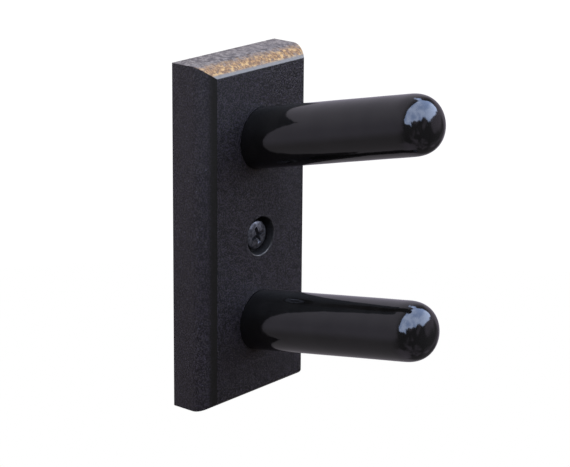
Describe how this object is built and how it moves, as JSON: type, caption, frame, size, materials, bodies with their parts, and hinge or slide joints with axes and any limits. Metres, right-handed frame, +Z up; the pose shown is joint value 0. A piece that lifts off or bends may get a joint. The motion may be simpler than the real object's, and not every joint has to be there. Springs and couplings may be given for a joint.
{
  "type": "wall cue rack",
  "caption": "Small wall rack for billiard cues: an upright moulded board, screwed to the wall, with vinyl-skinned pegs one above the other that tilt slightly upwards.",
  "frame": {"origin": "the point where the wall screw's axis crosses the wall, in the plane of the board's back face", "axes": "+Z up along the board's length, +Y into the wall, so the pegs stand out towards -Y; +X to the right seen from the front"},
  "size_m": [0.056, 0.1188, 0.13],
  "materials": {
    "board_finish": "fine-grained matt black paint on fibreboard, worn through to pale brown on the top moulding",
    "sleeve": "high gloss black vinyl skin",
    "dowel": "bare turned hardwood",
    "screw_steel": "dark zinc plate with a slight shine"
  },
  "bodies": {
    "root": {"moulded_board": "board_finish", "upper_peg_core": "dowel", "upper_peg_sleeve": "sleeve", "upper_peg_screw": "screw_steel", "lower_peg_core": "dowel", "lower_peg_sleeve": "sleeve", "lower_peg_screw": "screw_steel", "wall_screw": "screw_steel"}
  },
  "joints": []
}
